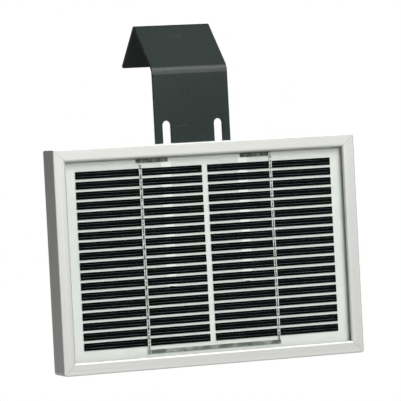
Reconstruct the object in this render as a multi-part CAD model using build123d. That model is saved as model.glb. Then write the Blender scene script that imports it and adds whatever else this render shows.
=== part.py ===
from build123d import *
import math
import os

# Small framed solar panel hanging on a bent steel hook bracket.
# The model is drawn in the panel's frame: X right, Y from front to back, Z up, with the centre of
# the panel's outline at X = Z = 0 and the front of the frame's lip at Y = 0.
# It is written out in the hook's frame, whose origin is the crest inside the hook.
# Millimetres.

over = 1.0                     # how far a cutter runs past what it cuts

# ---- panel and frame ----
panel_depth = 18.0
corner_radius = 2.0            # outer corners, seen from the front
frame_wall = 1.4
lip_width = 7.5
lip_thickness = 1.5
lip_round = 1.4                # inner edge of the lip
edge_round = 0.7               # outer edges, front and back
shelf_width = 6.3              # shelf behind the laminate, and the chamber behind the shelf
chamber_web = 1.1
flange_width = 14.0
flange_thickness = 1.5
mitre_gap = 0.05               # each side of a mitre
key_leg = 20.0                 # corner keys in the chambers
key_clearance = 0.1

# ---- laminate, from front to back ----
seal_face = 0.2
seal_edge = 0.6
glass_thickness = 2.0
front_film = 0.4
rear_film = 0.5
backsheet_thickness = 0.3

# ---- cells ----
cell_rows = 18
cell_length = 78.0
cell_height = 4.3
cell_thickness = 0.2
row_gap = 1.5
column_gap = 3.5
side_margin = 14.25            # from the cells to the outside of the frame
top_margin = 13.45
bottom_margin = 13.65

# ---- ribbons ----
tab_width = 1.8
tab_thickness = 0.15
tab_end_margin = 0.3
tab_step_margin = 0.3
tab_shift = 0.8                # both rows of tabs are soldered this far right of the cells' middle
bus_width = 2.2
bus_thickness = 0.2
bus_gap = 2.4                  # between the bottom cells and the bottom ribbon
terminal_gap = 3.1             # between the top cells and the terminal ribbons
terminal_overrun = 1.75        # past the middle of the cells, outwards
ribbon_inset = 3.15            # from the junction box's side to the middle of the ribbon that enters it
bus_overrun = 0.2              # past the tabs, at each end
insulation_thickness = 0.1
insulation_width = 6.0

# ---- hook bracket ----
bracket_width = 47.0
bracket_thickness = 2.0
plate_height = 86.5            # bottom edge to the front bend
front_slope_length = 39.0
rear_leg_length = 34.0
slope_angle = 45.0
ridge_inner_radius = 1.0
bend_outer_radius = 8.0
bottom_corner_radius = 4.0
slot_clearance = 0.2
slot_length = 50.0
slot_spacing = 32.4
slot_bottom_margin = 6.0
screw_rise = 25.0              # rest height of the screws above the bottom of their travel

# ---- clamp: screws, washers and wing nuts ----
screw_diameter = 5.0
screw_length = 15.5
screw_head_diameter = 9.0
screw_head_height = 3.0
screw_head_round = 1.2
screw_tip_chamfer = 0.5
screw_inset = 9.0              # below the top edge of the frame
screw_hole_clearance = 0.2
screw_head_gap = 2.7           # in front of the head, to the frame's chamber
recess_width = 1.2
recess_span = 5.0
recess_depth = 1.5
spacer_thickness = 1.6
spacer_diameter = 11.0
washer_thickness = 1.0
washer_diameter = 12.0
slide_clearance = 0.05
thread_clearance = 0.05
nut_base_diameter = 11.0
nut_top_diameter = 9.0
nut_hub_height = 6.5
nut_height = 13.0
nut_span = 26.0
wing_thickness = 2.2
wing_tip_radius = 4.0
wing_root_margin = 0.6
left_nut_turn = -24.0
right_nut_turn = 38.0

# ---- spare mounting holes in the side rails ----
side_hole_diameter = 4.5
side_hole_inset = 9.5
side_hole_spacing = 70.0

# ---- junction box ----
box_width = 54.0
box_height = 36.0
box_drop = 24.0                # below the panel's centre
box_wall = 1.6
box_floor = 1.4
box_corner_radius = 2.0
adhesive_thickness = 0.6
adhesive_margin = 2.0
ribbon_slot_width = 3.0
ribbon_slot_height = 1.6
gasket_thickness = 0.4
gasket_width = 1.0
lid_clearance = 0.05
lid_thickness = 1.4
lid_panel_inset = 6.0
lid_panel_step = 0.4
tongue_width = 10.0
tongue_thickness = 1.3
tongue_length = 4.0
tongue_clearance = 0.15
hinge_radius = 2.1
hinge_offset = 2.6             # pin axis above the box
hinge_set_in = 0.6             # pin axis in front of the box's rim
pin_diameter = 2.0
pin_clearance = 0.05
lug_thickness = 4.0
knuckle_width = 19.4
knuckle_gap = 0.3

# ---- inside the junction box ----
ribbon_entry_rise = 6.0        # above the box's centre
carrier_margin = 0.5           # at each end, past the terminal blocks
carrier_height = 8.0
carrier_thickness = 1.5
block_length = 7.0
block_height = 5.0
block_thickness = 3.0
block_gap = 1.25               # from each block to its ribbon
terminal_screw_diameter = 3.4
terminal_screw_height = 1.0
terminal_slot_width = 0.6
diode_diameter = 2.6
diode_length = 6.0
lead_diameter = 0.7

# ---- cable gland ----
cable_diameter = 4.2
gland_drop = 6.0               # below the box's centre
gland_margin = 1.15            # from the stub to the box's floor, and to its rim
cable_clearance = 0.5
stub_wall = 0.6
boss_wall = 1.25
boss_length = 1.5
collar_step = 0.6
collar_length = 2.0
barrel_wall = 0.6
seal_wall = 1.15
barrel_length = 7.0
seal_length = 6.2
gland_nut_wall = 0.85
gland_nut_length = 9.0
gland_nut_end_wall = 1.2
gland_opening_clearance = 0.6
gland_nut_chamfer = 1.0
gland_nut_ribs = 12
gland_rib_radius = 0.35

# ---- label ----
label_width = 46.0
label_height = 28.0
label_thickness = 0.15
label_x = -53.0
label_z = 14.0

# ---- depths worked out from the stack ----
glass_front = lip_thickness + seal_face
glass_back = glass_front + glass_thickness
cell_front = glass_back + front_film
cell_back = cell_front + cell_thickness
insulation_back = cell_back + insulation_thickness
film_back = cell_front + rear_film
sheet_back = film_back + backsheet_thickness
groove_back = sheet_back + seal_face
flange_front = panel_depth - flange_thickness
chamber_front = groove_back + chamber_web
chamber_back = flange_front - screw_head_height - screw_head_gap - chamber_web
chamber_depth = chamber_back - chamber_front
label_back = sheet_back + label_thickness

# ---- outline worked out from the cells ----
row_pitch = cell_height + row_gap
matrix_height = cell_rows * row_pitch - row_gap
panel_width = 2 * (cell_length + side_margin) + column_gap
panel_height = matrix_height + top_margin + bottom_margin

# ---- places worked out in the laminate ----
laminate_width = panel_width - 2 * (frame_wall + seal_edge)
laminate_height = panel_height - 2 * (frame_wall + seal_edge)
matrix_top = panel_height / 2 - top_margin
matrix_bottom = matrix_top - matrix_height
column_x = (column_gap + cell_length) / 2
bus_z = matrix_bottom - bus_gap - bus_width / 2
terminal_z = matrix_top + terminal_gap + bus_width / 2

# ---- places worked out for the bracket ----
slot_width = screw_diameter + 2 * slot_clearance
plate_front = panel_depth + spacer_thickness + slide_clearance
plate_back = plate_front + bracket_thickness
screw_z = panel_height / 2 - screw_inset
slot_bottom = screw_z - screw_rise - slot_width / 2
plate_bottom = slot_bottom - slot_bottom_margin
bend_z = plate_bottom + plate_height
slope_run = front_slope_length * math.cos(math.radians(slope_angle))
slope_rise = front_slope_length * math.sin(math.radians(slope_angle))
ridge_y = plate_front + slope_run
ridge_z = bend_z + slope_rise
half_ridge_angle = math.radians(90 - slope_angle)
crest_y = ridge_y
crest_z = (ridge_z - bracket_thickness / math.sin(half_ridge_angle)
           - ridge_inner_radius * (1 / math.sin(half_ridge_angle) - 1))
washer_front = plate_back + slide_clearance
nut_front = washer_front + washer_thickness + slide_clearance

# ---- diameters worked out for the gland ----
stub_diameter = cable_diameter + 2 * (cable_clearance + stub_wall)
barrel_diameter = cable_diameter + 2 * (seal_wall + thread_clearance + barrel_wall)
collar_across_flats = barrel_diameter + 2 * collar_step
gland_nut_diameter = barrel_diameter + 2 * (thread_clearance + gland_nut_wall)
gland_nut_opening = cable_diameter + 2 * gland_opening_clearance
boss_height = stub_diameter + 2 * (thread_clearance + boss_wall)

# ---- places worked out for the junction box ----
box_z = -box_drop
box_top = box_z + box_height / 2
box_bottom = box_z - box_height / 2
box_front = sheet_back + adhesive_thickness
floor_back = box_front + box_floor
gland_y = floor_back + gland_margin + stub_diameter / 2
rim_y = gland_y + stub_diameter / 2 + gland_margin
lid_front = rim_y + gasket_thickness + lid_clearance
lid_back = lid_front + lid_thickness
hinge_y = rim_y - hinge_set_in
hinge_z = box_top + hinge_offset
ribbon_entry_z = box_z + ribbon_entry_rise
carrier_back = floor_back + carrier_thickness
block_back = carrier_back + block_thickness
gland_z = box_z - gland_drop
terminal_outer_x = column_x + terminal_overrun
ribbon_run_x = box_width / 2 - ribbon_inset
terminal_inner_x = ribbon_run_x - bus_width / 2
block_centre = terminal_inner_x - block_gap - block_length / 2
carrier_width = 2 * block_centre + block_length + 2 * carrier_margin


def block(x0, x1, y0, y1, z0, z1):
    """A box between two corners."""
    centre = ((x0 + x1) / 2, (y0 + y1) / 2, (z0 + z1) / 2)
    return Pos(*centre) * Box(abs(x1 - x0), abs(y1 - y0), abs(z1 - z0))


def slab(width, height, y0, y1, x=0.0, z=0.0):
    """A flat sheet that faces front, centred on x and z."""
    return block(x - width / 2, x + width / 2, y0, y1, z - height / 2, z + height / 2)


def rod(diameter, y0, y1, x=0.0, z=0.0):
    """A round bar along Y."""
    return Pos(x, (y0 + y1) / 2, z) * Rot(90, 0, 0) * Cylinder(diameter / 2, abs(y1 - y0))


def cross_rod(diameter, x0, x1, y, z):
    """A round bar along X."""
    return Pos((x0 + x1) / 2, y, z) * Rot(0, 90, 0) * Cylinder(diameter / 2, abs(x1 - x0))


def along_x(points, x0, x1):
    """A bar along X whose section is the outline through (y, z) points."""
    outline = make_face(Plane.YZ * Polyline(*points, close=True))
    return Pos(x0, 0, 0) * extrude(outline, x1 - x0, dir=(1, 0, 0))


def side_plane(width, height, radius, y0, y1, z=0.0):
    """A sheet with rounded corners that faces front."""
    outline = Pos(0, y0, z) * Rot(-90, 0, 0) * RectangleRounded(width, height, radius)
    return extrude(outline, y1 - y0, dir=(0, 1, 0))


# ---- frame ----
def rail_section(half_span):
    """Section of the extrusion for a rail along the top, as a face in the YZ plane."""
    top = half_span
    outline = [
        (0, top),
        (0, top - lip_width),
        (lip_thickness, top - lip_width),
        (lip_thickness, top - frame_wall),
        (groove_back, top - frame_wall),
        (groove_back, top - shelf_width),
        (chamber_back + chamber_web, top - shelf_width),
        (chamber_back + chamber_web, top - frame_wall),
        (flange_front, top - frame_wall),
        (flange_front, top - flange_width),
        (panel_depth, top - flange_width),
        (panel_depth, top),
    ]
    section = make_face(Polyline(*outline, close=True))
    outer_corners = [v for v in section.vertices() if abs(v.Y - top) < 0.01]
    section = fillet(outer_corners, edge_round)
    lip_corner = section.vertices().sort_by_distance(Vector(0, top - lip_width, 0))[0]
    section = fillet(lip_corner, lip_round)
    inner_height = shelf_width - frame_wall - chamber_web
    chamber_centre = top - frame_wall - inner_height / 2
    chamber = Pos((chamber_front + chamber_back) / 2, chamber_centre) * Rectangle(chamber_depth, inner_height)
    return Plane.YZ * (section - chamber)


def frame_rail(length, half_span):
    """A mitred rail along the top of a frame, length long and half_span above its centre."""
    bar = Pos(-length / 2, 0, 0) * extrude(rail_section(half_span), length)
    reach = flange_width + over
    tip = length / 2 - mitre_gap * math.sqrt(2)
    mitre = make_face(Plane.XZ * Polyline(
        (-tip, half_span),
        (tip, half_span),
        (tip - reach, half_span - reach),
        (reach - tip, half_span - reach),
        close=True,
    ))
    return bar & extrude(mitre, panel_depth, both=True)


def flange_holes(diameter, places):
    """Round cutters through the frame's rear flange at (x, z) places."""
    return [rod(diameter, flange_front - over, panel_depth + over, x, z) for x, z in places]


def frame_rails():
    rounded = side_plane(panel_width, panel_height, corner_radius, -over, panel_depth + over)
    long_rail = frame_rail(panel_width, panel_height / 2)
    short_rail = frame_rail(panel_height, panel_width / 2)
    side_x = panel_width / 2 - side_hole_inset
    side_z = side_hole_spacing / 2
    screw_x = slot_spacing / 2
    screw_hole = screw_diameter + 2 * screw_hole_clearance
    top_holes = flange_holes(screw_hole, [(-screw_x, screw_z), (screw_x, screw_z)])
    left_holes = flange_holes(side_hole_diameter, [(-side_x, -side_z), (-side_x, side_z)])
    right_holes = flange_holes(side_hole_diameter, [(side_x, -side_z), (side_x, side_z)])
    return {
        "frame_rail_top": (long_rail & rounded) - top_holes,
        "frame_rail_bottom": Rot(0, 180, 0) * long_rail & rounded,
        "frame_rail_left": (Rot(0, -90, 0) * short_rail & rounded) - left_holes,
        "frame_rail_right": (Rot(0, 90, 0) * short_rail & rounded) - right_holes,
    }


def corner_keys():
    """Four L keys in the rails' chambers, one across each mitre."""
    outer = frame_wall + key_clearance
    inner = shelf_width - chamber_web - key_clearance
    y0 = chamber_front + key_clearance
    y1 = chamber_back - key_clearance
    keys = []
    for sx in (-1, 1):
        for sz in (-1, 1):
            x_out = sx * (panel_width / 2 - outer)
            x_in = sx * (panel_width / 2 - inner)
            z_out = sz * (panel_height / 2 - outer)
            z_in = sz * (panel_height / 2 - inner)
            across = block(x_out, x_out - sx * key_leg, y0, y1, z_out, z_in)
            upright = block(x_out, x_in, y0, y1, z_out, z_out - sz * key_leg)
            keys.append(across + upright)
    return keys


def edge_seal():
    outer = slab(panel_width - 2 * frame_wall, panel_height - 2 * frame_wall, lip_thickness, groove_back)
    window = slab(panel_width - 2 * shelf_width, panel_height - 2 * shelf_width, 0, panel_depth)
    return outer - laminate_sheet(glass_front, sheet_back) - window


# ---- laminate ----
def laminate_sheet(y0, y1):
    return slab(laminate_width, laminate_height, y0, y1)


def row_span(row):
    """Bottom and top of a row of cells, counted from the top."""
    top = matrix_top - row * row_pitch
    return top - cell_height, top


def cell_column(side):
    cells = []
    for row in range(cell_rows):
        low, high = row_span(row)
        cells.append(slab(cell_length, cell_height, cell_front, cell_back, side * column_x, (low + high) / 2))
    return cells


def tab(x, front_end, front_turn, back_turn, back_end):
    """A ribbon that lies on the front of one cell and steps through a gap to the back of the next."""
    y0 = cell_front - tab_thickness
    y1 = cell_back
    t = tab_thickness
    points = [
        (y0, front_end), (y0, front_turn), (y1, back_turn), (y1, back_end),
        (y1 + t, back_end), (y1 + t, back_turn), (y0 + t, front_turn), (y0 + t, front_end),
    ]
    return along_x(points, x - tab_width / 2, x + tab_width / 2)


def straight_tab(x, y0, z0, z1):
    return block(x - tab_width / 2, x + tab_width / 2, y0, y0 + tab_thickness, z0, z1)


def tab_ribbons_left():
    """The left string runs down: the front of each cell leads to the back of the cell below."""
    x = tab_shift - column_x
    low, high = row_span(0)
    tabs = [straight_tab(x, cell_back, low + tab_end_margin, terminal_z + bus_width / 2)]
    for row in range(cell_rows - 1):
        low, high = row_span(row)
        next_low, next_high = row_span(row + 1)
        tabs.append(tab(x, high - tab_end_margin, low - tab_step_margin,
                        next_high + tab_step_margin, next_low + tab_end_margin))
    low, high = row_span(cell_rows - 1)
    tabs.append(straight_tab(x, cell_front - tab_thickness, high - tab_end_margin, bus_z - bus_width / 2))
    return tabs


def tab_ribbons_right():
    """The right string runs up: the front of each cell leads to the back of the cell above."""
    x = column_x + tab_shift
    low, high = row_span(cell_rows - 1)
    tabs = [straight_tab(x, cell_back, high - tab_end_margin, bus_z - bus_width / 2)]
    for row in range(1, cell_rows):
        low, high = row_span(row)
        next_low, next_high = row_span(row - 1)
        tabs.append(tab(x, low + tab_end_margin, high + tab_step_margin,
                        next_low - tab_step_margin, next_high - tab_end_margin))
    low, high = row_span(0)
    tabs.append(straight_tab(x, cell_front - tab_thickness, low + tab_end_margin, terminal_z + bus_width / 2))
    return tabs


def bus_ribbon_bottom():
    reach = column_x + tab_width / 2 + bus_overrun
    return slab(2 * reach, bus_width, cell_front, cell_front + bus_thickness, tab_shift, bus_z)


def terminal_ribbon(side):
    """Across the top, down behind the cells and back through the sheet to its terminal block."""
    outer_x = side * terminal_outer_x
    inner_x = side * terminal_inner_x
    run_x = inner_x + side * bus_width
    low = terminal_z - bus_width / 2
    high = terminal_z + bus_width / 2
    run_back = insulation_back + tab_thickness
    lift_y = (carrier_back + block_back) / 2
    across = block(outer_x, inner_x, cell_front, cell_front + bus_thickness, low, high)
    turn = block(run_x, inner_x, cell_front, run_back, high - tab_thickness, high)
    down = block(run_x, inner_x, insulation_back, run_back, ribbon_entry_z, high)
    riser = block(run_x, inner_x, insulation_back, lift_y + tab_thickness,
                  ribbon_entry_z, ribbon_entry_z + tab_thickness)
    block_face = side * (block_centre + block_length / 2)
    foot = block(inner_x, block_face, lift_y, lift_y + tab_thickness,
                 ribbon_entry_z - tab_width / 2, ribbon_entry_z + tab_thickness)
    return across + turn + down + riser + foot


def insulation_strips():
    high = matrix_top + row_gap
    low = ribbon_entry_z + 2 * tab_thickness
    middle = (high + low) / 2
    return [slab(insulation_width, high - low, cell_back, insulation_back, side * ribbon_run_x, middle)
            for side in (-1, 1)]


def ribbon_slots(y0, y1):
    return [slab(ribbon_slot_width, ribbon_slot_height, y0, y1, side * ribbon_run_x, ribbon_entry_z)
            for side in (-1, 1)]


def laminate_parts():
    cells_left = cell_column(-1)
    cells_right = cell_column(1)
    tabs_left = tab_ribbons_left()
    tabs_right = tab_ribbons_right()
    bus = bus_ribbon_bottom()
    terminals = [terminal_ribbon(-1), terminal_ribbon(1)]
    strips = insulation_strips()
    buried = cells_left + cells_right + tabs_left + tabs_right + terminals + strips + [bus]
    slots = ribbon_slots(insulation_back, sheet_back + over)
    return {
        "front_glass": laminate_sheet(glass_front, glass_back),
        "encapsulant_front": laminate_sheet(glass_back, cell_front) - (tabs_left + tabs_right),
        "encapsulant_rear": laminate_sheet(cell_front, film_back) - buried - slots,
        "backsheet": laminate_sheet(film_back, sheet_back) - slots,
        "cells_left_column": cells_left,
        "cells_right_column": cells_right,
        "tab_ribbons_left": tabs_left,
        "tab_ribbons_right": tabs_right,
        "bus_ribbon_bottom": bus,
        "terminal_ribbon_left": terminals[0],
        "terminal_ribbon_right": terminals[1],
        "insulation_strips": strips,
        "rating_label": slab(label_width, label_height, sheet_back, label_back, label_x, label_z),
    }


# ---- hook bracket ----
def round_bend(section, y, z, outer_radius):
    """Rounds both faces of the bend whose outer corner is at y, z."""
    corner = Vector(y, z, 0)
    inside = section.vertices().sort_by_distance(corner)[1]
    section = fillet(inside, outer_radius - bracket_thickness)
    outside = section.vertices().sort_by_distance(corner)[0]
    return fillet(outside, outer_radius)


def hook_bracket():
    leg_run = rear_leg_length * math.cos(math.radians(slope_angle))
    leg_fall = rear_leg_length * math.sin(math.radians(slope_angle))
    outside = Polyline(
        (plate_front, plate_bottom),
        (plate_front, bend_z),
        (ridge_y, ridge_z),
        (ridge_y + leg_run, ridge_z - leg_fall),
    )
    section = make_face(offset(outside, bracket_thickness, kind=Kind.INTERSECTION, side=Side.RIGHT))
    section = round_bend(section, plate_front, bend_z, bend_outer_radius)
    section = round_bend(section, ridge_y, ridge_z, ridge_inner_radius + bracket_thickness)
    strip = extrude(Plane.YZ * section, bracket_width / 2, both=True)
    bottom_edges = [e for e in strip.edges().filter_by(Axis.Y) if abs(e.center().Z - plate_bottom) < 0.01]
    strip = fillet(bottom_edges, bottom_corner_radius)
    slots = []
    for side in (-1, 1):
        x = side * slot_spacing / 2
        z = slot_bottom + slot_length / 2
        face_plate = Pos(x, plate_front - over, z) * Rot(-90, 0, 0)
        outline = face_plate * SlotOverall(slot_length, slot_width, rotation=90)
        slots.append(extrude(outline, bracket_thickness + 2 * over, dir=(0, 1, 0)))
    return strip - slots


# ---- clamp ----
def on_both_screws(shape):
    return [Pos(side * slot_spacing / 2, 0, screw_z) * shape for side in (-1, 1)]


def bracket_screw():
    shank = rod(screw_diameter, flange_front, flange_front + screw_length)
    shank = chamfer(shank.edges().sort_by(Axis.Y)[-1], screw_tip_chamfer)
    head = rod(screw_head_diameter, flange_front - screw_head_height, flange_front)
    head = fillet(head.edges().sort_by(Axis.Y)[0], screw_head_round)
    head_front = flange_front - screw_head_height
    for turn in (0, 90):
        bar = Box(recess_span, 2 * recess_depth, recess_width)
        head -= Pos(0, head_front, 0) * Rot(0, turn, 0) * bar
    return head + shank


def ring(outer, inner, y0, y1):
    return rod(outer, y0, y1) - rod(inner, y0 - over, y1 + over)


def wing_nut(turn):
    """A wing nut whose wings lie along X before it is turned."""
    hub = Pos(0, nut_front + nut_hub_height / 2, 0) * Rot(-90, 0, 0) * Cone(
        nut_base_diameter / 2, nut_top_diameter / 2, nut_hub_height)
    nut = hub
    for side in (-1, 1):
        tip_x = side * (nut_span / 2 - wing_tip_radius)
        tip = Pos(tip_x, nut_front + nut_height - wing_tip_radius) * Circle(wing_tip_radius)
        root_height = nut_hub_height - 2 * wing_root_margin
        root_place = Pos(side * nut_top_diameter / 4, nut_front + nut_hub_height / 2)
        root = root_place * Rectangle(wing_root_margin, root_height)
        outline = make_hull(tip.edges() + root.edges())
        nut += extrude(outline, wing_thickness / 2, both=True)
    nut -= rod(screw_diameter + 2 * thread_clearance, nut_front - over, nut_front + nut_height + over)
    return Rot(0, turn, 0) * nut


def clamp_parts():
    washer_hole = screw_diameter + 2 * screw_hole_clearance
    spacer = ring(spacer_diameter, washer_hole, panel_depth, panel_depth + spacer_thickness)
    washer = ring(washer_diameter, washer_hole, washer_front, washer_front + washer_thickness)
    return {
        "bracket_screws": on_both_screws(bracket_screw()),
        "spacer_washers": on_both_screws(spacer),
        "flat_washers": on_both_screws(washer),
        "wing_nut_left": on_both_screws(wing_nut(left_nut_turn))[0],
        "wing_nut_right": on_both_screws(wing_nut(right_nut_turn))[1],
    }


# ---- junction box ----
def hinge_barrel(x0, x1, foot_y, foot_z):
    """A hinge knuckle with a web to the corner at foot_y, foot_z."""
    barrel = cross_rod(2 * hinge_radius, x0, x1, hinge_y, hinge_z)
    web = block(x0, x1, foot_y, hinge_y - hinge_radius, foot_z, hinge_z)
    return barrel + web


def junction_box_base():
    shell = side_plane(box_width, box_height, box_corner_radius, box_front, rim_y, box_z)
    inner_radius = box_corner_radius - box_wall / 2
    inside = side_plane(box_width - 2 * box_wall, box_height - 2 * box_wall, inner_radius,
                        floor_back, rim_y + over, box_z)
    base = shell - inside - ribbon_slots(box_front - over, floor_back + over)
    wall_x = box_width / 2 - box_wall
    base += block(wall_x - boss_length, wall_x + box_wall / 2, box_front, rim_y,
                  gland_z - boss_height / 2, gland_z + boss_height / 2)
    base -= cross_rod(stub_diameter + 2 * thread_clearance, wall_x - boss_length - over,
                      wall_x + box_wall + over, gland_y, gland_z)
    for side in (-1, 1):
        x0 = side * (knuckle_width / 2 + knuckle_gap)
        x1 = x0 + side * lug_thickness
        base += hinge_barrel(x0, x1, rim_y, box_top - box_wall / 2)
    return base - cross_rod(pin_diameter, -box_width, box_width, hinge_y, hinge_z)


def junction_box_lid():
    lid = side_plane(box_width, box_height, box_corner_radius, lid_front, lid_back, box_z)
    dish = side_plane(box_width - 2 * lid_panel_inset, box_height - 2 * lid_panel_inset,
                      box_corner_radius, lid_back - lid_panel_step, lid_back + over, box_z)
    lid -= dish
    half = knuckle_width / 2
    lid += block(-half, half, lid_front, lid_back, box_top - over, hinge_z)
    lid += cross_rod(2 * hinge_radius, -half, half, hinge_y, hinge_z)
    lid -= cross_rod(pin_diameter + 2 * pin_clearance, -box_width, box_width, hinge_y, hinge_z)
    tongue_top = box_bottom - tongue_clearance
    tongue = block(-tongue_width / 2, tongue_width / 2, lid_back - tongue_length, lid_back,
                   tongue_top - tongue_thickness, tongue_top)
    bridge = block(-tongue_width / 2, tongue_width / 2, lid_front, lid_back, tongue_top, box_bottom + over)
    return lid + tongue + bridge


def junction_box_gasket():
    inset = (box_wall - gasket_width) / 2
    outer = side_plane(box_width - 2 * inset, box_height - 2 * inset, box_corner_radius - inset,
                       rim_y, rim_y + gasket_thickness, box_z)
    hole_inset = inset + gasket_width
    inner_radius = box_corner_radius - box_wall / 2
    inner = side_plane(box_width - 2 * hole_inset, box_height - 2 * hole_inset, inner_radius,
                       rim_y - over, rim_y + gasket_thickness + over, box_z)
    return outer - inner


def terminal_screw():
    head = rod(terminal_screw_diameter, block_back, block_back + terminal_screw_height)
    slot = Pos(0, block_back + terminal_screw_height, 0) * Box(
        terminal_screw_diameter, terminal_screw_height, terminal_slot_width)
    return head - slot


def blocking_diode():
    y = (carrier_back + block_back) / 2
    reach = block_centre - block_length / 2
    body = cross_rod(diode_diameter, -diode_length / 2, diode_length / 2, y, ribbon_entry_z)
    return body + cross_rod(lead_diameter, -reach, reach, y, ribbon_entry_z)


def junction_box_parts():
    pad_width = box_width - 2 * adhesive_margin
    pad_height = box_height - 2 * adhesive_margin
    pad = slab(pad_width, pad_height, sheet_back, box_front, 0, box_z)
    pin_reach = knuckle_width / 2 + knuckle_gap + lug_thickness
    sides = (-1, 1)
    return {
        "junction_box_adhesive": pad - ribbon_slots(sheet_back - over, box_front + over),
        "junction_box_base": junction_box_base(),
        "junction_box_gasket": junction_box_gasket(),
        "junction_box_lid": junction_box_lid(),
        "lid_hinge_pin": cross_rod(pin_diameter, -pin_reach, pin_reach, hinge_y, hinge_z),
        "terminal_carrier": slab(carrier_width, carrier_height, floor_back, carrier_back, 0, ribbon_entry_z),
        "terminal_blocks": [slab(block_length, block_height, carrier_back, block_back, s * block_centre,
                                 ribbon_entry_z) for s in sides],
        "terminal_screws": [Pos(s * block_centre, 0, ribbon_entry_z) * terminal_screw() for s in sides],
        "blocking_diode": blocking_diode(),
    }


# ---- cable gland ----
def gland_parts():
    wall_x = box_width / 2
    stub_start = wall_x - box_wall - boss_length
    collar_end = wall_x + collar_length
    barrel_end = collar_end + barrel_length
    nut_start = collar_end + 2 * thread_clearance
    nut_end = nut_start + gland_nut_length
    at = (gland_y, gland_z)
    collar = Pos(wall_x, *at) * Rot(0, 90, 0) * extrude(
        RegularPolygon(collar_across_flats / 2, 6, major_radius=False, rotation=30), collar_length)
    body = collar + cross_rod(stub_diameter, stub_start, wall_x, *at) + cross_rod(
        barrel_diameter, collar_end, barrel_end, *at)
    seat_diameter = barrel_diameter - 2 * barrel_wall
    seat_start = barrel_end - seal_length
    body -= cross_rod(stub_diameter - 2 * stub_wall, stub_start - over, barrel_end + over, *at)
    body -= cross_rod(seat_diameter, seat_start, barrel_end + over, *at)
    seal = cross_rod(seat_diameter - 2 * thread_clearance, seat_start, barrel_end, *at)
    seal -= cross_rod(cable_diameter, seat_start - over, barrel_end + over, *at)
    nut = cross_rod(gland_nut_diameter - 2 * gland_rib_radius, nut_start, nut_end, *at)
    nut = chamfer(nut.edges().sort_by(Axis.X)[-1], gland_nut_chamfer)
    rib_circle = gland_nut_diameter / 2 - gland_rib_radius
    for index in range(gland_nut_ribs):
        angle = 2 * math.pi * index / gland_nut_ribs
        y = gland_y + rib_circle * math.cos(angle)
        z = gland_z + rib_circle * math.sin(angle)
        nut += cross_rod(2 * gland_rib_radius, nut_start, nut_end - 2 * gland_nut_chamfer, y, z)
    thread_end = nut_end - gland_nut_end_wall
    nut -= cross_rod(barrel_diameter + 2 * thread_clearance, nut_start - over, thread_end, *at)
    nut -= cross_rod(gland_nut_opening, nut_start, nut_end + over, *at)
    return {"gland_body": body, "gland_seal": seal, "gland_nut": nut}


def write_parts():
    os.makedirs("parts", exist_ok=True)
    parts = {"hook_bracket": hook_bracket()}
    for group in (frame_rails(), laminate_parts(), clamp_parts(), junction_box_parts(), gland_parts()):
        parts.update(group)
    parts["corner_keys"] = corner_keys()
    parts["edge_seal"] = edge_seal()
    to_hook = Pos(0, -crest_y, -crest_z)
    for name, shape in parts.items():
        solids = shape if isinstance(shape, list) else [shape]
        placed = Compound(children=[to_hook * solid for solid in solids])
        placed.label = name
        export_step(placed, f"parts/{name}.step")


write_parts()
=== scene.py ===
import math
import random

import bmesh
import bpy
from mathutils import Matrix, Vector, noise


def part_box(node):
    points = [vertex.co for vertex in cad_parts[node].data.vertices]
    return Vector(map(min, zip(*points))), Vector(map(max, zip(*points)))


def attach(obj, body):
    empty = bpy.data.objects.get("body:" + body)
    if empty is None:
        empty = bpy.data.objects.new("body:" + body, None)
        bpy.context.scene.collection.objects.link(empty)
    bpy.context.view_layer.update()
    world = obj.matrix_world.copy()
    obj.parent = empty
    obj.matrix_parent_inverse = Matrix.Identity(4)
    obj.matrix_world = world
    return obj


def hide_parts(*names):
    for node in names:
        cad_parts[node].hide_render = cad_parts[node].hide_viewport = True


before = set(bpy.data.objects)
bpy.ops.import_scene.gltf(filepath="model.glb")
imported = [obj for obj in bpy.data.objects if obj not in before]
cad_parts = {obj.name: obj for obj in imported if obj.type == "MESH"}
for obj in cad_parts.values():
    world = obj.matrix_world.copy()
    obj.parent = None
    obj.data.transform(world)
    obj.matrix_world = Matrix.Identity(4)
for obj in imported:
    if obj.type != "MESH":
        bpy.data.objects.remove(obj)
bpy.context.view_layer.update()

MM = 0.001

# ---- places in the row frame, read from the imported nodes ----
rail_low, rail_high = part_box("frame_rail_left")
right_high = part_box("frame_rail_right")[1]
panel_centre = Vector(((rail_low.x + right_high.x) / 2, rail_low.y, (rail_low.z + rail_high.z) / 2))
glass_low, glass_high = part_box("front_glass")


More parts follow.
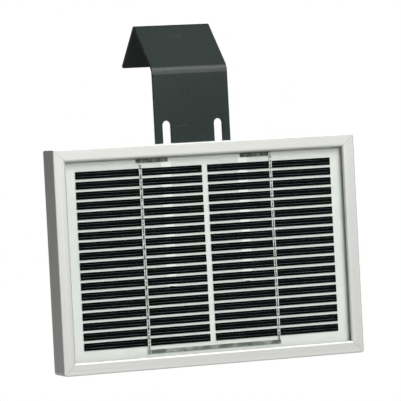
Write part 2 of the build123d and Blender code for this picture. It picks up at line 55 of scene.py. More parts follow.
# ---- node helpers ----
class Shader:
    """A material and short ways to add its nodes."""

    def __init__(self, name):
        self.mat = bpy.data.materials.new(name)
        self.mat.use_nodes = True
        self.tree = self.mat.node_tree
        self.tree.nodes.clear()
        self.out = self.tree.nodes.new("ShaderNodeOutputMaterial")
        self.place = self.tree.nodes.new("ShaderNodeTexCoord").outputs["Object"]

    def node(self, kind, **inputs):
        n = self.tree.nodes.new(kind)
        for key, value in inputs.items():
            self.put(n.inputs[key.replace("_", " ")], value)
        return n

    def put(self, socket, value):
        if isinstance(value, bpy.types.NodeSocket):
            self.tree.links.new(value, socket)
        else:
            socket.default_value = value

    def stretched(self, sx, sy, sz):
        n = self.node("ShaderNodeMapping", Vector=self.place)
        n.inputs["Scale"].default_value = (sx, sy, sz)
        return n.outputs[0]

    def noise(self, scale, detail=3.0, rough=0.5, at=None, distortion=0.0):
        n = self.node("ShaderNodeTexNoise", Vector=at or self.place, Scale=scale, Detail=detail,
                      Roughness=rough, Distortion=distortion)
        return n.outputs["Fac"]

    def math(self, op, a, b):
        n = self.tree.nodes.new("ShaderNodeMath")
        n.operation = op
        self.put(n.inputs[0], a)
        self.put(n.inputs[1], b)
        return n.outputs[0]

    def span(self, value, low, high, to_low=0.0, to_high=1.0):
        n = self.node("ShaderNodeMapRange", Value=value)
        n.inputs["From Min"].default_value = low
        n.inputs["From Max"].default_value = high
        n.inputs["To Min"].default_value = to_low
        n.inputs["To Max"].default_value = to_high
        return n.outputs[0]

    def mix(self, fac, a, b):
        n = self.tree.nodes.new("ShaderNodeMix")
        n.data_type = "RGBA"
        self.put(n.inputs[0], fac)
        for socket, value in ((n.inputs[6], a), (n.inputs[7], b)):
            self.put(socket, value if isinstance(value, bpy.types.NodeSocket) else (*value, 1.0))
        return n.outputs[2]

    def bump(self, height, distance, strength=1.0, below=None):
        n = self.node("ShaderNodeBump", Height=height, Distance=distance, Strength=strength)
        if below is not None:
            self.put(n.inputs["Normal"], below)
        return n.outputs[0]

    def surface(self, color, roughness, metallic=0.0, normal=None, **more):
        n = self.tree.nodes.new("ShaderNodeBsdfPrincipled")
        linked = isinstance(color, bpy.types.NodeSocket)
        self.put(n.inputs["Base Color"], color if linked else (*color, 1.0))
        self.put(n.inputs["Roughness"], roughness)
        self.put(n.inputs["Metallic"], metallic)
        if normal is not None:
            self.put(n.inputs["Normal"], normal)
        for key, value in more.items():
            self.put(n.inputs[key.replace("_", " ")], value)
        self.tree.links.new(n.outputs[0], self.out.inputs["Surface"])
        return self.mat


# ---- materials ----
def aluminium(name, along):
    """Satin anodised extrusion with fine die lines along one axis."""
    s = Shader(name)
    fine, long_way = 2600.0, 9.0
    scale = {"X": (long_way, fine, fine), "Z": (fine, fine, long_way)}[along]
    lines = s.noise(1.0, 4.0, 0.62, s.stretched(*scale))
    bands = s.noise(1.0, 2.0, 0.5, s.stretched(*(v * 0.22 for v in scale)))
    cloud = s.noise(38.0, 3.0, 0.55)
    grain = s.noise(5200.0, 2.0, 0.6)
    tone = s.math("ADD", s.math("MULTIPLY", lines, 0.5), s.math("MULTIPLY", bands, 0.5))
    color = s.mix(s.span(tone, 0.3, 0.7), (0.520, 0.525, 0.505), (0.605, 0.611, 0.590))
    color = s.mix(s.span(cloud, 0.35, 0.75, 0.0, 0.3), color, (0.585, 0.58, 0.555))
    rough = s.span(tone, 0.25, 0.75, 0.36, 0.50)
    normal = s.bump(lines, 0.00001, 0.55, s.bump(grain, 0.000006, 0.5))
    return s.surface(color, rough, 0.32, normal)


def powder_coat():
    """Dark green-black paint with orange peel and a few faint scuffs."""
    s = Shader("powder_coated_steel")
    peel = s.noise(900.0, 3.0, 0.55)
    fine = s.noise(3600.0, 2.0, 0.5)
    drift = s.noise(16.0, 3.0, 0.5)
    scratch_at = s.stretched(40.0, 900.0, 900.0)
    scratch = s.noise(1.0, 2.0, 0.5, scratch_at, 0.4)
    marks = s.math("MULTIPLY", s.span(scratch, 0.66, 0.72), s.span(s.noise(55.0, 1.0), 0.54, 0.66))
    color = s.mix(s.span(drift, 0.35, 0.65), (0.0130, 0.0215, 0.0200), (0.0170, 0.0265, 0.0245))
    color = s.mix(s.math("MULTIPLY", marks, 0.5), color, (0.16, 0.18, 0.17))
    rough = s.span(peel, 0.3, 0.7, 0.25, 0.33)
    normal = s.bump(peel, 0.00005, 0.35, s.bump(fine, 0.00002, 0.3))
    return s.surface(color, rough, 0.0, normal, Specular_IOR_Level=0.20)


def clear_pane():
    """Lets light through, darkens it a little, and mirrors on the faces turned to the viewer only."""
    s = Shader("clear_glass")
    clear = s.node("ShaderNodeBsdfTransparent")
    smear = s.noise(30.0, 3.0, 0.5)
    tint = s.mix(s.span(smear, 0.3, 0.7), (0.948, 0.960, 0.950), (0.962, 0.970, 0.962))
    s.put(clear.inputs["Color"], tint)
    gloss = s.node("ShaderNodeBsdfGlossy")
    s.put(gloss.inputs["Color"], (1.0, 1.0, 1.0, 1.0))
    s.put(gloss.inputs["Roughness"], s.span(smear, 0.3, 0.7, 0.012, 0.03))
    fresnel = s.node("ShaderNodeFresnel")
    fresnel.inputs["IOR"].default_value = 1.42
    turned_away = s.tree.nodes.new("ShaderNodeNewGeometry").outputs["Backfacing"]
    mixed = s.node("ShaderNodeMixShader")
    s.put(mixed.inputs[0], s.math("MULTIPLY", fresnel.outputs[0], s.math("SUBTRACT", 1.0, turned_away)))
    s.put(mixed.inputs[1], clear.outputs[0])
    s.put(mixed.inputs[2], gloss.outputs[0])
    s.put(s.out.inputs["Surface"], mixed.outputs[0])
    return s.mat


def white_sheet():
    """Matt white plastic sheet, a little mottled."""
    s = Shader("white_backsheet")
    mottle = s.noise(120.0, 4.0, 0.6)
    weave = s.noise(2600.0, 2.0, 0.5)
    color = s.mix(s.span(mottle, 0.3, 0.7), (0.745, 0.750, 0.730), (0.785, 0.788, 0.770))
    normal = s.bump(mottle, 0.00008, 0.3, s.bump(weave, 0.00001, 0.4))
    return s.surface(color, s.span(weave, 0.3, 0.7, 0.42, 0.56), 0.0, normal)


def silicon():
    """Near-black cells, no two alike, with a painted bluish sheen that grows towards +X."""
    s = Shader("silicon_cell")
    isle = s.tree.nodes.new("ShaderNodeNewGeometry").outputs["Random Per Island"]
    etch = s.noise(1500.0, 3.0, 0.6)
    stain = s.noise(70.0, 2.0, 0.5)
    across = s.tree.nodes.new("ShaderNodeSeparateXYZ")
    s.put(across.inputs[0], s.place)
    # painted sheen: the cell colour turns bluish towards +X to stand in for a reflected sheen
    painted_sheen = s.span(across.outputs["X"], -0.01, 0.03)
    base = s.mix(painted_sheen, (0.0007, 0.0009, 0.0008), (0.0007, 0.0016, 0.0018))
    base = s.mix(s.math("MULTIPLY", isle, 0.5), base, (0.0012, 0.0020, 0.0032))
    color = s.mix(s.span(stain, 0.5, 0.8, 0.0, 0.5), base, (0.002, 0.0028, 0.006))
    normal = s.bump(etch, 0.000012, 0.4)
    rough = s.span(etch, 0.3, 0.7, 0.30, 0.44)
    return s.surface(color, rough, 0.0, normal, Specular_IOR_Level=0.008)


def printed_silver():
    """Grey printed lines, worn unevenly along their length."""
    s = Shader("printed_silver")
    grain = s.noise(4200.0, 3.0, 0.6)
    wear = s.noise(1.0, 3.0, 0.6, s.stretched(55.0, 700.0, 700.0))
    color = s.mix(s.span(wear, 0.35, 0.7), (0.135, 0.145, 0.15), (0.055, 0.062, 0.066))
    return s.surface(color, s.span(grain, 0.3, 0.7, 0.45, 0.65), 0.25, s.bump(grain, 0.00001, 0.5))


def tinned(name, low, high, pool_scale, metallic, rough):
    """Solder-dipped ribbon: a dull skin with soft lighter pools along it."""
    s = Shader(name)
    pools = s.noise(pool_scale, 2.0, 0.45, distortion=0.3)
    grain = s.noise(3800.0, 3.0, 0.6)
    color = s.mix(s.span(pools, 0.40, 0.66), low, high)
    color = s.mix(s.span(grain, 0.35, 0.7, 0.0, 0.22), color, low)
    normal = s.bump(pools, 0.00006, 0.4, s.bump(grain, 0.00001, 0.4))
    return s.surface(color, s.span(pools, 0.35, 0.65, *rough), metallic, normal)


def solder():
    """Pale solder with a fine grain."""
    s = Shader("solder")
    grain = s.noise(1800.0, 3.0, 0.6)
    color = s.mix(s.span(grain, 0.35, 0.65), (0.78, 0.79, 0.76), (0.93, 0.94, 0.91))
    return s.surface(color, s.span(grain, 0.3, 0.7, 0.28, 0.5), 0.1, s.bump(grain, 0.00003, 0.5))


def moulding(name, low, high, rough_low, rough_high, scale=1500.0):
    """Moulded plastic with a fine spark texture."""
    s = Shader(name)
    spark = s.noise(scale, 4.0, 0.65)
    drift = s.noise(45.0, 3.0, 0.5)
    color = s.mix(s.span(drift, 0.3, 0.7), low, high)
    normal = s.bump(spark, 0.00004, 0.5)
    return s.surface(color, s.span(spark, 0.3, 0.7, rough_low, rough_high), 0.0, normal)


def plated(name, low, high, metallic=0.9, rough=(0.22, 0.38)):
    """Plated or plain bright metal with a cloudy finish."""
    s = Shader(name)
    cloud = s.noise(260.0, 4.0, 0.6)
    grain = s.noise(4200.0, 2.0, 0.6)
    color = s.mix(s.span(cloud, 0.3, 0.7), low, high)
    normal = s.bump(grain, 0.00001, 0.5, s.bump(cloud, 0.00003, 0.3))
    return s.surface(color, s.span(cloud, 0.3, 0.7, *rough), metallic, normal)


def foam():
    """Black closed-cell foam."""
    s = Shader("foam_seal")
    cells = s.node("ShaderNodeTexVoronoi", Vector=s.place, Scale=2600.0).outputs["Distance"]
    color = s.mix(s.span(cells, 0.1, 0.6), (0.012, 0.012, 0.012), (0.045, 0.045, 0.045))
    return s.surface(color, s.span(cells, 0.0, 0.7, 0.75, 0.95), 0.0, s.bump(cells, 0.0001, 0.7))


def label_film():
    """Satin metallised label, blank."""
    s = Shader("blank_label")
    fleck = s.noise(900.0, 3.0, 0.6)
    drift = s.noise(60.0, 2.0, 0.5)
    color = s.mix(s.span(drift, 0.3, 0.7), (0.66, 0.67, 0.665), (0.76, 0.77, 0.765))
    return s.surface(color, s.span(fleck, 0.3, 0.7, 0.30, 0.42), 0.55, s.bump(fleck, 0.00001, 0.4))


rail_across = aluminium("anodised_aluminium_across", "X")
rail_upright = aluminium("anodised_aluminium_upright", "Z")
coat = powder_coat()
pane_glass = clear_pane()
sheet_white = white_sheet()
cell_blue = silicon()
silver_print = printed_silver()
# painted shade: the terminal ribbons' colour is darkened to stand in for the top lip's shadow and the dark
# room reflected in them; their lighter pools are random tone
shaded_ribbon = tinned("tinned_copper_painted_shade", (0.020, 0.030, 0.025), (0.19, 0.205, 0.19),
                     300.0, 0.1, (0.40, 0.55))
grey_ribbon = tinned("tinned_copper", (0.125, 0.14, 0.128), (0.36, 0.375, 0.355),
                     190.0, 0.2, (0.34, 0.5))
# painted reflection: the ribbon core's tin gets a dark colour that stands in for the dark room mirrored in
# its flat face; the solder edges keep the pale tin colour
tab_core_shaded = tinned("solder_dipped_core_painted_dark", (0.10, 0.105, 0.10), (0.42, 0.43, 0.41),
                  620.0, 0.5, (0.22, 0.4))
tab_light = tinned("solder_edge", (0.62, 0.635, 0.60), (0.84, 0.85, 0.82),
                   480.0, 0.15, (0.3, 0.45))
solder_bead = solder()
black_plastic = moulding("black_moulding", (0.016, 0.016, 0.017), (0.026, 0.026, 0.028), 0.42, 0.62)
rubber = moulding("black_rubber", (0.012, 0.012, 0.012), (0.02, 0.02, 0.02), 0.68, 0.85, 2600.0)
silicone = moulding("silicone_bead", (0.66, 0.66, 0.63), (0.74, 0.74, 0.71), 0.34, 0.48, 500.0)
strip_film = moulding("insulation_film", (0.88, 0.885, 0.865), (0.92, 0.925, 0.905), 0.4, 0.55, 900.0)
nylon = moulding("nylon", (0.62, 0.61, 0.55), (0.70, 0.69, 0.63), 0.36, 0.5, 700.0)
epoxy = moulding("diode_epoxy", (0.01, 0.01, 0.011), (0.017, 0.017, 0.018), 0.18, 0.3, 1800.0)
zinc = plated("zinc_plated_steel", (0.50, 0.52, 0.54), (0.68, 0.69, 0.68))
brass = plated("brass", (0.55, 0.38, 0.15), (0.72, 0.54, 0.25), 0.95)
foam_black = foam()
label_mat = label_film()
label_ink = moulding("label_ink", (0.02, 0.022, 0.024), (0.05, 0.053, 0.056), 0.45, 0.6, 3000.0)

NODE_LOOKS = {
    "hook_bracket": coat,
    "frame_rail_top": rail_across, "frame_rail_bottom": rail_across,
    "frame_rail_left": rail_upright, "frame_rail_right": rail_upright,
    "corner_keys": rail_across, "edge_seal": foam_black, "backsheet": sheet_white,
    "cells_left_column": cell_blue, "cells_right_column": cell_blue,
    "bus_ribbon_bottom": grey_ribbon,
    "terminal_ribbon_left": shaded_ribbon, "terminal_ribbon_right": shaded_ribbon,
    "tab_ribbons_left": tab_core_shaded, "tab_ribbons_right": tab_core_shaded,
    "insulation_strips": strip_film, "rating_label": label_mat,
    "junction_box_adhesive": silicone, "junction_box_base": black_plastic,
    "junction_box_gasket": rubber, "junction_box_lid": black_plastic, "lid_hinge_pin": zinc,
    "terminal_carrier": nylon, "terminal_blocks": brass,
    "terminal_screws": zinc, "blocking_diode": epoxy,
    "gland_body": black_plastic, "gland_seal": rubber, "gland_nut": black_plastic,
    "bracket_screws": zinc, "spacer_washers": nylon, "flat_washers": zinc,
    "wing_nut_left": zinc, "wing_nut_right": zinc,
    "front_glass": pane_glass, "encapsulant_front": pane_glass, "encapsulant_rear": pane_glass,
}
for name, look in NODE_LOOKS.items():
    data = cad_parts[name].data
    data.materials.clear()
    data.materials.append(look)


# ---- eased edges on pressed and moulded parts ----
EASED_MM = {
    "hook_bracket": 0.28, "junction_box_base": 0.25, "junction_box_lid": 0.25,
    "wing_nut_left": 0.35, "wing_nut_right": 0.35,
    "flat_washers": 0.12, "spacer_washers": 0.15, "gland_nut": 0.1,
}
for name, width in EASED_MM.items():
    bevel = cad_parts[name].modifiers.new("eased_edges", "BEVEL")
    bevel.width = width * MM
    bevel.segments = 3
    bevel.limit_method = "ANGLE"
    bevel.angle_limit = math.radians(40)
    bevel.use_clamp_overlap = True
    bevel.harden_normals = False


# ---- mesh helpers ----
def piece(name, bm, look, body):
    """A finished mesh that rides on a body of the frame."""
    mesh = bpy.data.meshes.new(name)
    bmesh.ops.recalc_face_normals(bm, faces=bm.faces)
    bm.to_mesh(mesh)
    bm.free()
    mesh.materials.append(look)
    obj = bpy.data.objects.new(name, mesh)
    bpy.context.scene.collection.objects.link(obj)
    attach(obj, body)
    return obj


def smooth(obj, angle=40.0):
    """Smooth shading, with edges sharper than the angle kept."""
    obj.data.polygons.foreach_set("use_smooth", [True] * len(obj.data.polygons))
    obj.data.set_sharp_from_angle(angle=math.radians(angle))


def loft(bm, rings):
    """A closed skin over rings of points that have the same count."""
    made = [[bm.verts.new(p) for p in points] for points in rings]
    count = len(made[0])
    for a, b in zip(made, made[1:]):
        for i in range(count):
            j = (i + 1) % count
            bm.faces.new((a[i], a[j], b[j], b[i]))
    bm.faces.new(list(reversed(made[0])))
    bm.faces.new(made[-1])


def slab(bm, x0, x1, y0, y1, z0, z1, f=0.0):
    """A block whose front edges have a chamfer of f."""
    rings = [
        [(x0, y1, z0), (x1, y1, z0), (x1, y1, z1), (x0, y1, z1)],
        [(x0, y0 + f, z0), (x1, y0 + f, z0), (x1, y0 + f, z1), (x0, y0 + f, z1)],
    ]
    if f:
        rings.append([(x0 + f, y0, z0 + f), (x1 - f, y0, z0 + f),
                      (x1 - f, y0, z1 - f), (x0 + f, y0, z1 - f)])
    loft(bm, rings)


# ---- glass pane: the glass and the clear films bonded to it ----
PANE_CHAMFER = 0.25 * MM
PANE_OVER = 0.05 * MM           # how far the pane's back goes past the glass, into the film
bm = bmesh.new()
slab(bm, glass_low.x, glass_high.x, glass_low.y, glass_high.y + PANE_OVER,
     glass_low.z, glass_high.z, PANE_CHAMFER)
pane = piece("glass_pane", bm, pane_glass, "panel")
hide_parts("front_glass", "encapsulant_front", "encapsulant_rear")

# ---- printed fingers on the cells ----
cell_boxes = {"left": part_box("cells_left_column"), "right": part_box("cells_right_column")}
ROWS = 18
CELL_HEIGHT = 4.3 * MM
ROW_PITCH = (cell_boxes["left"][1].z - cell_boxes["left"][0].z - CELL_HEIGHT) / (ROWS - 1)
FINGERS = ((0.27, 0.09 * MM), (0.68, 0.16 * MM))    # share of the cell from its top, width
FINGER_INSET = 0.5 * MM
FINGER_STEPS = 26               # stretches of each line, each a little wider or narrower
FINGER_RISE = 0.012 * MM
rng = random.Random(7)
for side, (low, high) in cell_boxes.items():
    bm = bmesh.new()
    front = low.y - FINGER_RISE
    reach = high.x - low.x - 2 * FINGER_INSET
    for row in range(ROWS):
        top = high.z - row * ROW_PITCH
        for share, width in FINGERS:
            z = top - share * CELL_HEIGHT
            for k in range(FINGER_STEPS):
                a = low.x + FINGER_INSET + reach * k / FINGER_STEPS
                b = low.x + FINGER_INSET + reach * (k + 1) / FINGER_STEPS
                half = width / 2 * (0.8 + 0.4 * rng.random())
                v = [bm.verts.new(p) for p in (
                    (a, front, z - half), (b, front, z - half), (b, front, z + half), (a, front, z + half))]
                bm.faces.new(v)
    piece(f"cell_fingers_{side}", bm, silver_print, "panel")


# ---- ribbons of each string, with their solder ----
TAB_HALF = 0.9 * MM
TAB_THICKNESS = 0.15 * MM
TAB_MARGIN = 0.3 * MM
TAB_STEP = 0.25 * MM            # between the places worked out along a ribbon
EDGE_OFFSET = 0.62 * MM         # from the ribbon's middle to the middle of its solder edge
EDGE_HALF = 0.25 * MM
EDGE_RISE = 0.10 * MM
EDGE_SINK = 0.03 * MM
tab_x = {side: sum(v.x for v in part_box(f"tab_ribbons_{side}")) / 2 for side in ("left", "right")}
bus_low, bus_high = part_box("bus_ribbon_bottom")
terminal_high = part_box("terminal_ribbon_left")[1]
terminal_under = terminal_high.z - (bus_high.z - bus_low.z)


def ribbon_lines(side):
    """The (y, z) line that each ribbon of a string follows along its front face."""
    cells_low, cells_high = cell_boxes[side]
    front = cells_low.y - TAB_THICKNESS
    behind = cells_high.y
    run = -1 if side == "left" else 1
    end_z = bus_low.z if side == "left" else terminal_high.z
    start_z = terminal_high.z if side == "left" else bus_low.z
    rows = range(ROWS) if side == "left" else range(ROWS - 1, -1, -1)
    edge = cells_high.z if side == "left" else cells_low.z
    lines = [[(behind, start_z), (behind, edge + run * TAB_MARGIN)]]
    for row in rows:
        top = cells_high.z - row * ROW_PITCH
        entry = top if side == "left" else top - CELL_HEIGHT
        leave = entry + run * CELL_HEIGHT
        start = entry + run * TAB_MARGIN
        if row == rows[-1]:
            lines.append([(front, start), (front, end_z)])
        else:
            gap = ROW_PITCH - CELL_HEIGHT
            lines.append([(front, start), (front, leave - run * TAB_MARGIN),
                          (behind, leave + run * (gap + TAB_MARGIN))])
    return lines


def walk(line):
    """Evenly spaced (y, z) places along a line, with its step eased."""
    places = []
    for (y0, z0), (y1, z1) in zip(line, line[1:]):
        count = max(2, round(abs(z1 - z0) / TAB_STEP))
        for k in range(count):
            t = k / count
            ease = t * t * (3 - 2 * t)
            places.append((y0 + (y1 - y0) * ease, z0 + (z1 - z0) * t))
    return places + [line[-1]]


def wave(z, x, scale, seed):
    """Smooth unevenness along a ribbon, about -1 to 1."""
    return noise.noise(Vector((x * 100.0, z * scale, seed)))


def tab_core(side):
    """The flat ribbons themselves."""
    bm = bmesh.new()
    x = tab_x[side]
    for line in ribbon_lines(side):
        rings = []
        for y, z in walk(line):
            half = TAB_HALF * (0.93 + 0.05 * wave(z, x, 900.0, 2.0))
            sag = 0.02 * MM * (1 + wave(z, x, 1300.0, 5.0))
            rings.append([(x - half, y + TAB_THICKNESS, z), (x - half, y, z), (x - half * 0.5, y + sag, z),
                          (x, y + sag * 1.6, z), (x + half * 0.5, y + sag, z), (x + half, y, z),
                          (x + half, y + TAB_THICKNESS, z)])
        loft(bm, rings)
    # the core takes the darkened tin, whose colour paints the dark reflection
    core = piece(f"tab_string_{side}", bm, tab_core_shaded, "panel")
    smooth(core, 50)
    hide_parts(f"tab_ribbons_{side}")


def tab_edges(side):
    """Solder drawn up along both edges of each ribbon."""
    bm = bmesh.new()
    arc = [math.pi * k / 6 for k in range(7)]
    x = tab_x[side]
    for line in ribbon_lines(side):
        for way in (-1, 1):
            rings = []
            for y, z in walk(line):
                centre = x + way * (EDGE_OFFSET + 0.10 * MM * wave(z, x, 620.0, 3.0 + way))
                half = EDGE_HALF * (1 + 0.35 * wave(z, x, 800.0, 11.0 + way))
                rise = EDGE_RISE * (1 + 0.4 * wave(z, x, 900.0, 21.0 + way))
                rings.append([(centre - half * math.cos(a), y + EDGE_SINK - rise * math.sin(a), z)
                              for a in arc])
            loft(bm, rings)
    smooth(piece(f"solder_edges_{side}", bm, tab_light, "panel"))


def bead(bm, x, y, z, rx, ry, rz, seed):
    """A lump of solder, uneven."""
    made = bmesh.ops.create_icosphere(bm, subdivisions=3, radius=1.0)
    for v in made["verts"]:
        wobble = 1 + 0.16 * noise.noise(v.co * 1.7 + Vector((seed, seed * 2.3, 0)))
        v.co = Vector((x + v.co.x * rx * wobble, y + v.co.y * ry, z + v.co.z * rz * wobble))


def solder_beads(side, links, glint_bead):
    """Lumps that close the solder over the ribbon in places, and a pale one where it leaves each cell, a
    painted highlight for the glint on the ribbon's bend.
    """
    bm = bmesh.new()
    low, high = cell_boxes[side]
    x = tab_x[side]
    front = low.y - TAB_THICKNESS
    for row in range(ROWS):
        top = high.z - row * ROW_PITCH
        for share in (0.22, 0.60):
            z = top - (share + 0.22 * rng.random()) * CELL_HEIGHT
            size = 0.7 + 0.5 * rng.random()
            if rng.random() < links:
                bead(bm, x + (rng.random() - 0.5) * 0.3 * MM, front, z,
                     0.42 * MM, 0.11 * MM, 0.26 * MM * size, row)
        # painted highlight: a pale lump in the row gap stands in for the light caught on the ribbon's bend
        if row and glint_bead:
            size = 0.85 + 0.4 * rng.random()
            z = top + (ROW_PITCH - CELL_HEIGHT) * 0.55
            bead(bm, x + (rng.random() - 0.5) * 0.25 * MM, front + 0.05 * MM, z,
                 glint_bead * MM * size, 0.2 * MM, glint_bead * MM * 0.85 * size, row + 40)
    end_z = terminal_under - 0.55 * MM if side == "left" else high.z + 1.2 * MM
    bead(bm, x, front, end_z, 0.55 * MM, 0.2 * MM, 0.6 * MM, 3)
    smooth(piece(f"solder_beads_{side}", bm, solder_bead, "panel"))


# ---- insulating film between the cells and the ribbons that run down behind them ----
strips_low, strips_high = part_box("insulation_strips")
STRIP_HALF = 3.0 * MM
bm = bmesh.new()
for outer in (strips_low.x, strips_high.x - 2 * STRIP_HALF):
    slab(bm, outer, outer + 2 * STRIP_HALF, strips_low.y, strips_high.y,
         strips_low.z, terminal_under - 0.05 * MM, 0.02 * MM)
film = piece("insulation_film", bm, strip_film, "panel")
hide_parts("insulation_strips")

# the last value sizes the pale row-gap lumps that paint the highlight on each bend; 0 leaves them out
for side, links, glint_bead in (("left", 0.8, 0.0), ("right", 0.35, 0.5)):
    tab_core(side)
    tab_edges(side)
    solder_beads(side, links, glint_bead)

# ---- rules and empty boxes printed on the label ----
label_low, label_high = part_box("rating_label")
LABEL_BORDER = 1.6 * MM
RULE = 0.22 * MM
PRINT_RISE = 0.012 * MM
RULES = 6
HEADER = 6.0 * MM


def printed_line(bm, x0, x1, z0, z1):
    """One printed line on the label's outer face."""
    slab(bm, x0, x1, label_high.y, label_high.y + PRINT_RISE, z0, z1)


bm = bmesh.new()
left_x, right_x = label_low.x + LABEL_BORDER, label_high.x - LABEL_BORDER
low_z, top_z = label_low.z + LABEL_BORDER, label_high.z - LABEL_BORDER
for z in (low_z, top_z - RULE, top_z - HEADER):
    printed_line(bm, left_x, right_x, z, z + RULE)
for index in range(1, RULES):
    z = low_z + (top_z - HEADER - low_z) * index / RULES
    printed_line(bm, left_x, right_x, z, z + RULE * 0.6)
middle_x = (left_x + right_x) / 2
for x, z_end in ((left_x, top_z), (right_x - RULE, top_z), (middle_x, top_z - HEADER)):
    printed_line(bm, x, x + RULE, low_z, z_end)
piece("label_rules", bm, label_ink, "panel")

# ---- clamp screws with their threads ----
screws_low, screws_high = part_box("bracket_screws")
HEAD_RADIUS = 4.5 * MM
HEAD_HEIGHT = 3.0 * MM
HEAD_ROUND = 1.2 * MM
CREST = 2.5 * MM                # thread radii
ROOT = 2.12 * MM
PITCH = 0.8 * MM
PLAIN_SHANK = 1.2 * MM
PLAIN_RADIUS = CREST * 0.99
TIP = 0.5 * MM
AROUND = 32
RINGS_PER_TURN = 8
RIDGE_TOP = 1.35                # over 1, so the ridge has a flat crest
RIDGE_FALL = 3.105


def circle(x, y, z, radius):
    """A ring about an axis along Y."""
    turns = [2 * math.pi * k / AROUND for k in range(AROUND)]
    return [(x + radius * math.cos(a), y, z + radius * math.sin(a)) for a in turns]


def threaded(x, y, z, depth_share):
    """One ring of the thread, whose ridge climbs one pitch in a turn."""
    ring = []
    for k in range(AROUND):
        phase = (y / PITCH - k / AROUND) % 1.0
        ridge = min(1.0, max(0.0, RIDGE_TOP - RIDGE_FALL * abs(phase - 0.5)))
        radius = ROOT + (CREST - ROOT) * ridge * depth_share
        angle = 2 * math.pi * k / AROUND
        ring.append((x + radius * math.cos(angle), y, z + radius * math.sin(angle)))
    return ring


def clamp_screw(bm, x, z):
    """Pan head, plain shank and thread, from the front to the tip."""
    head_front = screws_low.y
    seat = head_front + HEAD_HEIGHT
    rings = [circle(x, head_front, z, (HEAD_RADIUS - HEAD_ROUND) * share) for share in (0.02, 0.5, 1.0)]
    for step in range(1, 7):
        a = math.pi / 2 * step / 6
        rings.append(circle(x, head_front + HEAD_ROUND * (1 - math.cos(a)), z,
                            HEAD_RADIUS - HEAD_ROUND * (1 - math.sin(a))))
    start = seat + PLAIN_SHANK
    rings += [circle(x, seat, z, HEAD_RADIUS), circle(x, seat, z, PLAIN_RADIUS),
              circle(x, start, z, PLAIN_RADIUS)]
    thread_length = screws_high.y - TIP - start
    count = round(thread_length / PITCH * RINGS_PER_TURN)
    for k in range(1, count + 1):
        rings.append(threaded(x, start + thread_length * k / count, z, min(1.0, k / RINGS_PER_TURN)))
    rings.append(circle(x, screws_high.y, z, ROOT - 0.1 * MM))
    rings.append(circle(x, screws_high.y, z, ROOT * 0.3))
    loft(bm, rings)


screw_z = (screws_low.z + screws_high.z) / 2
bm = bmesh.new()
for x in (screws_low.x + HEAD_RADIUS, screws_high.x - HEAD_RADIUS):
    clamp_screw(bm, x, screw_z)
screws = piece("clamp_screws", bm, zinc, "panel")
smooth(screws, 35)
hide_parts("bracket_screws")

# ---- camera ----
SENSOR_WIDTH = 36.0             # millimetres, as Blender counts it
FOCAL_LENGTH = 274.17905
AZIMUTH = math.radians(-21.2942)
ELEVATION = math.radians(1.5626)
ROLL = math.radians(-2.98498)
DISTANCE = 1777.184 * MM
AIM_RIGHT = -6.4518 * MM        # from the panel's centre to the point the camera faces
AIM_UP = 30.615 * MM
back = Vector((math.sin(AZIMUTH) * math.cos(ELEVATION),
               -math.cos(AZIMUTH) * math.cos(ELEVATION),
               math.sin(ELEVATION)))
side_way = (-back).cross(Vector((0, 0, 1))).normalized()
up_way = side_way.cross(-back)
right_tilted = math.cos(ROLL) * side_way + math.sin(ROLL) * up_way
up_tilted = -math.sin(ROLL) * side_way + math.cos(ROLL) * up_way
camera_data = bpy.data.cameras.new("camera")
camera_data.sensor_width = SENSOR_WIDTH
camera_data.lens = FOCAL_LENGTH
camera_data.clip_start = 0.01
camera = bpy.data.objects.new("camera", camera_data)
bpy.context.scene.collection.objects.link(camera)
spot = panel_centre + AIM_RIGHT * right_tilted + AIM_UP * up_tilted + DISTANCE * back
camera.matrix_world = Matrix((
    (right_tilted.x, up_tilted.x, back.x, spot.x),
    (right_tilted.y, up_tilted.y, back.y, spot.y),
    (right_tilted.z, up_tilted.z, back.z, spot.z),
    (0, 0, 0, 1)))
bpy.context.scene.camera = camera

# ---- floor, light and surroundings ----
FLOOR_DROP = 0.42               # below the panel's centre
FLOOR_RADIUS = 3.0


def floor_paper():
    """Pale paper that glows for the camera only, so it looks white and throws little light back."""
    s = Shader("floor_paper")
    speck = s.noise(12.0, 3.0, 0.5)
    s.surface(s.mix(speck, (0.27, 0.27, 0.265), (0.31, 0.31, 0.305)), 0.8, 0.0)
    seen_directly = s.tree.nodes.new("ShaderNodeLightPath").outputs["Is Camera Ray"]
    glow = s.node("ShaderNodeEmission", Strength=s.math("MULTIPLY", seen_directly, 0.90))
    s.put(glow.inputs["Color"], s.mix(speck, (0.97, 0.97, 0.96), (1.0, 1.0, 0.99)))
    both = s.tree.nodes.new("ShaderNodeAddShader")
    s.put(both.inputs[0], s.out.inputs["Surface"].links[0].from_socket)
    s.put(both.inputs[1], glow.outputs[0])
    s.put(s.out.inputs["Surface"], both.outputs[0])
    return s.mat


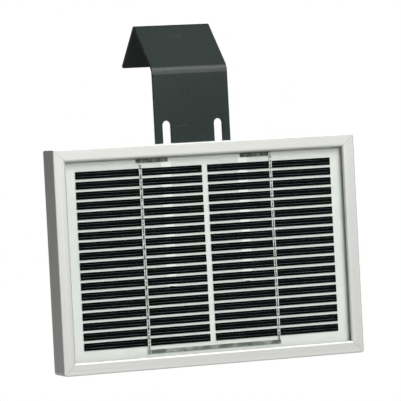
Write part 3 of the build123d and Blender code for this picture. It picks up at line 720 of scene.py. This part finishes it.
bm = bmesh.new()
bmesh.ops.create_circle(bm, cap_ends=True, segments=96, radius=FLOOR_RADIUS)
floor_mesh = bpy.data.meshes.new("floor")
bm.to_mesh(floor_mesh)
bm.free()
floor_mesh.materials.append(floor_paper())
floor = bpy.data.objects.new("floor", floor_mesh)
floor.location = (0, 0, panel_centre.z - FLOOR_DROP)
bpy.context.scene.collection.objects.link(floor)


def softbox(name, offset, width, power, height=None):
    """A rectangular light, placed from the panel's centre and turned to face it."""
    data = bpy.data.lights.new(name, "AREA")
    data.shape = "RECTANGLE"
    data.size = width
    data.size_y = height or width
    data.energy = power
    lamp = bpy.data.objects.new(name, data)
    lamp.location = panel_centre + Vector(offset)
    lamp.rotation_euler = (-Vector(offset)).to_track_quat("-Z", "Y").to_euler()
    bpy.context.scene.collection.objects.link(lamp)


softbox("key", (0.48, -1.35, 1.40), 1.2, 36.0, 1.0)
softbox("front_fill", (0.30, -2.0, 0.62), 1.5, 23.0, 0.6)
softbox("low_fill", (-0.55, -1.8, -0.45), 0.6, 4.5)
softbox("back_fill", (0.9, 2.0, 0.75), 1.5, 34.0)
softbox("back_side", (0.05, 2.3, 0.2), 0.8, 6.0)
softbox("overhead", (0.50, -0.05, 1.35), 0.7, 1.5)
softbox("table_bounce", (-0.40, -0.06, -0.30), 0.20, 0.75)


def studio_world():
    """White behind the object where the camera looks, and a dark room for everything else."""
    world = bpy.data.worlds.new("studio")
    world.use_nodes = True
    tree = world.node_tree
    tree.nodes.clear()
    out = tree.nodes.new("ShaderNodeOutputWorld")
    backdrop = tree.nodes.new("ShaderNodeBackground")
    backdrop.inputs["Color"].default_value = (1.0, 1.0, 1.0, 1.0)
    room = tree.nodes.new("ShaderNodeBackground")
    room.inputs["Color"].default_value = (0.018, 0.019, 0.019, 1.0)
    path = tree.nodes.new("ShaderNodeLightPath")
    both = tree.nodes.new("ShaderNodeMixShader")
    tree.links.new(path.outputs["Is Camera Ray"], both.inputs[0])
    tree.links.new(room.outputs[0], both.inputs[1])
    tree.links.new(backdrop.outputs[0], both.inputs[2])
    tree.links.new(both.outputs[0], out.inputs["Surface"])
    return world


bpy.context.scene.world = studio_world()
bpy.context.scene.view_settings.view_transform = "Standard"
